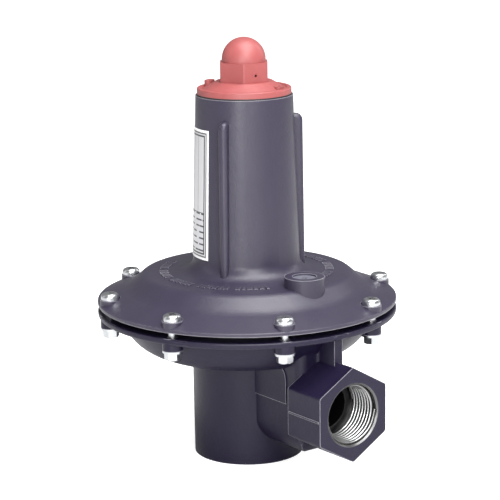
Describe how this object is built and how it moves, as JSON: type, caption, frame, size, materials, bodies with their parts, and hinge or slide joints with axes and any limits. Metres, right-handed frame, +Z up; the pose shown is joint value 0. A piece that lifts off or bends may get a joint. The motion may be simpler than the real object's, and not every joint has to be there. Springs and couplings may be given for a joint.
{
  "type": "pressure reducing valve",
  "caption": "Spring-loaded diaphragm pressure reducing valve with a bottom threaded inlet, a side hexagon outlet and a tall capped spring tower.",
  "frame": {"origin": "centre of the threaded inlet's mouth, on the flat bottom face", "axes": "+Z up the main axis from the inlet to the dome cap, +X out of the side outlet"},
  "size_m": [0.1767, 0.168, 0.2358],
  "materials": {
    "casting": "semi-gloss violet-grey stoved enamel over die-cast aluminium, fine orange peel",
    "machined": "bright turned aluminium",
    "zinc": "bright zinc-plated steel",
    "red_plastic": "salmon-red moulded polyamide, satin",
    "label": "printed silver foil",
    "rubber": "black nitrile, matt",
    "spring_steel": "zinc-flake coated spring wire",
    "brass": "turned brass",
    "pressed_steel": "pressed galvanised sheet",
    "vent_grey": "grey moulded plastic"
  },
  "bodies": {
    "casing": {"valve_body": "casting", "upper_casing": "casting", "flange_screws": "zinc", "flange_washers": "zinc", "flange_nuts": "zinc", "vent_plug": "vent_grey", "vent_screen": "pressed_steel", "seat_orifice": "brass", "orifice_seal": "rubber", "guide_bush": "brass", "impulse_tube": "brass", "rating_plate": "label", "diaphragm": "rubber", "main_spring": "spring_steel"},
    "stem_group": {"stem": "machined", "valve_pad": "rubber", "disc_holder": "brass", "pad_washer": "brass", "disc_nut": "brass", "relief_retainer": "zinc", "stem_nut": "zinc", "relief_spring": "spring_steel"},
    "plate_group": {"upper_plate": "pressed_steel", "lower_plate": "pressed_steel", "plate_rivets": "machined"},
    "cap_gasket_ring": {"cap_gasket": "rubber"},
    "tower_cap": {"tower_cap": "red_plastic"},
    "spring_seat": {"spring_seat": "machined"},
    "adjusting_screw": {"adjusting_screw": "zinc"},
    "dome_seal_ring": {"dome_cap_seal": "rubber"},
    "dome_cap": {"dome_cap": "red_plastic"}
  },
  "joints": [
    {"name": "stem_travel", "type": "slide", "parent": "casing", "child": "stem_group", "axis": [0, 0, 1], "range_m": [0, 0.005], "stiffness_N_per_m": 3000, "springref_m": -0.012, "deforming": ["main_spring", "diaphragm"]},
    {"name": "relief_lift", "type": "slide", "parent": "stem_group", "child": "plate_group", "axis": [0, 0, 1], "range_m": [0, 0.002], "stiffness_N_per_m": 4000, "springref_m": -0.004, "deforming": ["relief_spring", "main_spring", "diaphragm"]},
    {"name": "tower_cap_lift", "type": "slide", "parent": "casing", "child": "cap_gasket_ring", "axis": [0, 0, 1], "range_m": [0, 0.009], "deforming": ["main_spring"]},
    {"name": "tower_cap_turn", "type": "hinge", "parent": "cap_gasket_ring", "child": "tower_cap", "pos_m": [0, 0, 0.2051], "axis": [0, 0, 1], "range_deg": [0, 1620]},
    {"name": "seat_travel", "type": "slide", "parent": "tower_cap", "child": "spring_seat", "axis": [0, 0, 1], "range_m": [-0.008, 0.004], "deforming": ["main_spring"]},
    {"name": "adjuster_turn", "type": "hinge", "parent": "spring_seat", "child": "adjusting_screw", "pos_m": [0, 0, 0.2], "axis": [0, 0, 1], "range_deg": [-1645.71, 822.86]},
    {"name": "dome_cap_lift", "type": "slide", "parent": "tower_cap", "child": "dome_seal_ring", "axis": [0, 0, 1], "range_m": [0, 0.01]},
    {"name": "dome_cap_turn", "type": "hinge", "parent": "dome_seal_ring", "child": "dome_cap", "pos_m": [0, 0, 0.2117], "axis": [0, 0, 1], "range_deg": [0, 2400]}
  ],
  "couplings": [
    {"joint": "tower_cap_lift", "follows": "tower_cap_turn", "m_per_rad": 0.00031831},
    {"joint": "seat_travel", "follows": "adjuster_turn", "m_per_rad": 0.00027852},
    {"joint": "dome_cap_lift", "follows": "dome_cap_turn", "m_per_rad": 0.00023873}
  ]
}
